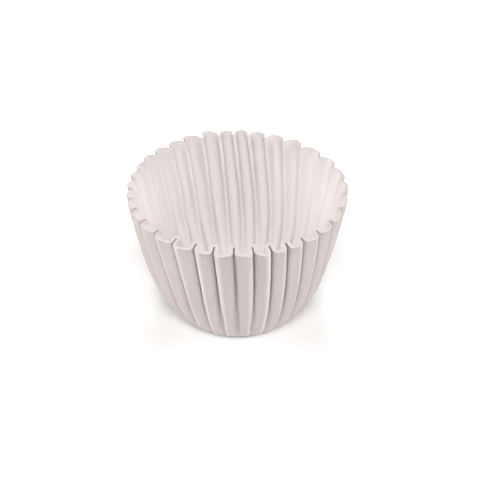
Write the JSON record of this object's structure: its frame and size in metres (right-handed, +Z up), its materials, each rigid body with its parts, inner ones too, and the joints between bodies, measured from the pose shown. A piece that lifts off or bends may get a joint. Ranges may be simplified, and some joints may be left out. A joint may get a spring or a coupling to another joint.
{
  "type": "paper candy cup",
  "caption": "Fluted paper cup, flared and open at the top, pressed from a flat round blank to hold a sweet or chocolate.",
  "frame": {"origin": "middle of the flat base, on the surface that the cup stands on", "axes": "+Z up the cup's own axis, out of its mouth; the picture looks along +Y and down, with +X to its right"},
  "size_m": [0.0407, 0.0408, 0.0262],
  "materials": {
    "paper": "matt, uncoated"
  },
  "bodies": {
    "root": {"candy_cup": "paper"}
  },
  "joints": []
}
